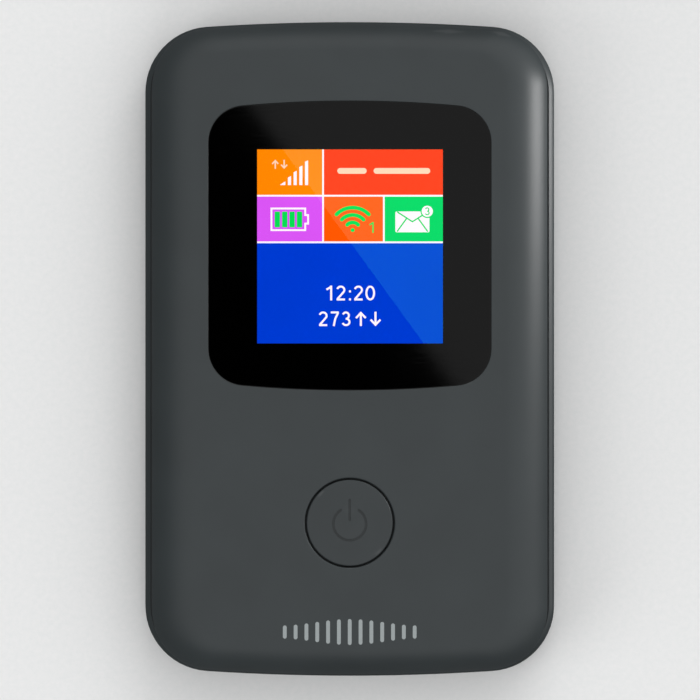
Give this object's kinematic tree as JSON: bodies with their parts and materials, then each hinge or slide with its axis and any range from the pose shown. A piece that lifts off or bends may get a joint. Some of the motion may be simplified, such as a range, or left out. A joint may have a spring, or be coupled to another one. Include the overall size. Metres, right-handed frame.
{
  "type": "mobile hotspot",
  "caption": "Pocket mobile hotspot with bowed ends and soft edges, a flush black lens over a small colour display, a round power button, a removable battery and a clip-on back.",
  "frame": {"origin": "centre of the flat back that the hotspot lies on", "axes": "+X to the right of the display, +Y towards the top edge, +Z out of the display"},
  "size_m": [0.06, 0.096, 0.014],
  "materials": {
    "shell": "satin moulded plastic, fine spark texture",
    "housing_plastic": "matt moulded plastic",
    "lens": "polished black acrylic, clear over the picture",
    "tape": "matt",
    "foam": "matt foam",
    "panel_glass": "lit colour picture",
    "backlight": "satin white",
    "flex": "amber polyimide film",
    "white_plastic": "satin",
    "black_plastic": "matt",
    "board": "solder mask",
    "shield": "tinned sheet",
    "chip": "moulded epoxy",
    "silicone": "soft",
    "gold": "gold plated",
    "steel": "plated",
    "cell": "wrapped in dark satin film",
    "card": "satin white"
  },
  "bodies": {
    "back_cover": {"back_cover": "shell"},
    "battery": {"battery_cell": "cell", "battery_head": "black_plastic", "battery_pad_1": "gold", "battery_pad_2": "gold", "battery_pad_3": "gold"},
    "sim_card": {"sim_card": "card", "sim_chip": "gold"},
    "power_button": {"power_button": "shell"},
    "power_plunger": {"power_switch_plunger": "white_plastic"},
    "reset_plunger": {"reset_switch_plunger": "white_plastic"},
    "lcd_latch": {"lcd_connector_latch": "black_plastic"},
    "contact_1": {"battery_contact_1": "gold"},
    "contact_2": {"battery_contact_2": "gold"},
    "contact_3": {"battery_contact_3": "gold"},
    "housing": {"front_cover": "shell", "rear_housing": "housing_plastic", "display_lens": "lens", "lens_tape": "tape", "lcd_gasket": "foam", "lcd_panel": "panel_glass", "lcd_backlight": "backlight", "lcd_flex": "flex", "lcd_connector": "white_plastic", "power_switch_base": "black_plastic", "reset_switch_base": "black_plastic", "usb_socket_tongue": "black_plastic", "battery_connector": "black_plastic", "antenna_carrier": "black_plastic", "main_board": "board", "baseband_shield": "shield", "power_shield": "shield", "rf_shield": "shield", "wifi_shield": "shield", "baseband_chip": "chip", "power_chip": "chip", "memory_chip": "chip", "rf_chip": "chip", "wifi_chip": "chip", "thermal_pad": "silicone", "lte_antenna": "gold", "diversity_antenna": "gold", "usb_socket_shell": "steel", "sim_socket": "steel", "sd_socket": "steel", "lte_feed_clip": "steel", "lte_ground_clip": "steel", "wifi_antenna": "steel", "housing_screw_1": "steel", "housing_screw_2": "steel", "housing_screw_3": "steel", "housing_screw_4": "steel", "board_screw_1": "steel", "board_screw_2": "steel"}
  },
  "joints": [
    {"name": "housing_lift", "type": "slide", "parent": "back_cover", "child": "housing", "axis": [0, 0, 1], "range_m": [0, 0.04]},
    {"name": "battery_lift", "type": "slide", "parent": "back_cover", "child": "battery", "axis": [0, 0, 1], "range_m": [0, 0.02]},
    {"name": "sim_card_slide", "type": "slide", "parent": "housing", "child": "sim_card", "axis": [0, -1, 0], "range_m": [0, 0.0155]},
    {"name": "power_button_press", "type": "slide", "parent": "housing", "child": "power_button", "axis": [0, 0, -1], "range_m": [0, 0.0004], "stiffness_N_per_m": 2500},
    {"name": "power_plunger_press", "type": "slide", "parent": "housing", "child": "power_plunger", "axis": [0, 0, -1], "range_m": [0, 0.00025]},
    {"name": "reset_plunger_press", "type": "slide", "parent": "housing", "child": "reset_plunger", "axis": [0, 0, 1], "range_m": [0, 0.00025], "stiffness_N_per_m": 4000},
    {"name": "lcd_latch_flip", "type": "hinge", "parent": "housing", "child": "lcd_latch", "pos_m": [0, -0.0119, 0.0103], "axis": [1, 0, 0], "range_deg": [0, 90]},
    {"name": "contact_1_press", "type": "slide", "parent": "housing", "child": "contact_1", "axis": [0, 1, 0], "range_m": [0, 0.0004], "stiffness_N_per_m": 1200},
    {"name": "contact_2_press", "type": "slide", "parent": "housing", "child": "contact_2", "axis": [0, 1, 0], "range_m": [0, 0.0004], "stiffness_N_per_m": 1200},
    {"name": "contact_3_press", "type": "slide", "parent": "housing", "child": "contact_3", "axis": [0, 1, 0], "range_m": [0, 0.0004], "stiffness_N_per_m": 1200}
  ],
  "couplings": [
    {"joint": "battery_lift", "follows": "housing_lift", "ratio": 0.5},
    {"joint": "power_plunger_press", "follows": "power_button_press", "ratio": 0.625},
    {"joint": "contact_2_press", "follows": "contact_1_press", "ratio": 1},
    {"joint": "contact_3_press", "follows": "contact_1_press", "ratio": 1}
  ]
}
